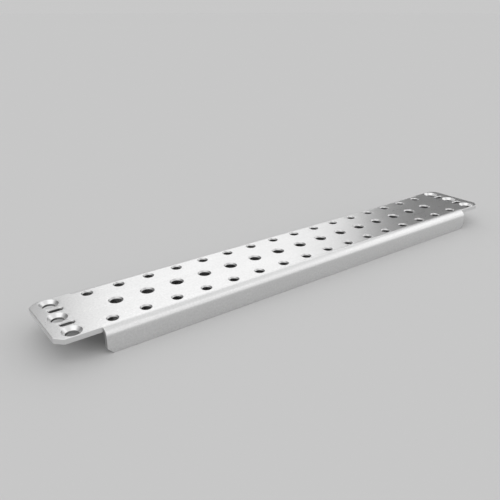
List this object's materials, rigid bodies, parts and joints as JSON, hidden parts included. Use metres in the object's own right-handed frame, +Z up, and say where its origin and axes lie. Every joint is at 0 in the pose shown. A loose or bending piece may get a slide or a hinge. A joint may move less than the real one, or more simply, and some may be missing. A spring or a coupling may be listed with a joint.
{
  "type": "enclosure mounting rail",
  "caption": "Folded sheet-steel channel rail with staggered rows of chamfered holes in its web, and flat end tabs with countersunk fixing holes and slots, for mounting devices in an enclosure.",
  "frame": {"origin": "centre of the rail in plan, at the lower edges of the flanges that it stands on", "axes": "+X along the rail, +Y across it, +Z up out of the top of the web"},
  "size_m": [0.229, 0.034, 0.0097],
  "materials": {
    "zinc_plated_steel": "bright zinc-plated sheet steel, satin"
  },
  "bodies": {
    "root": {"rail": "zinc_plated_steel"}
  },
  "joints": []
}
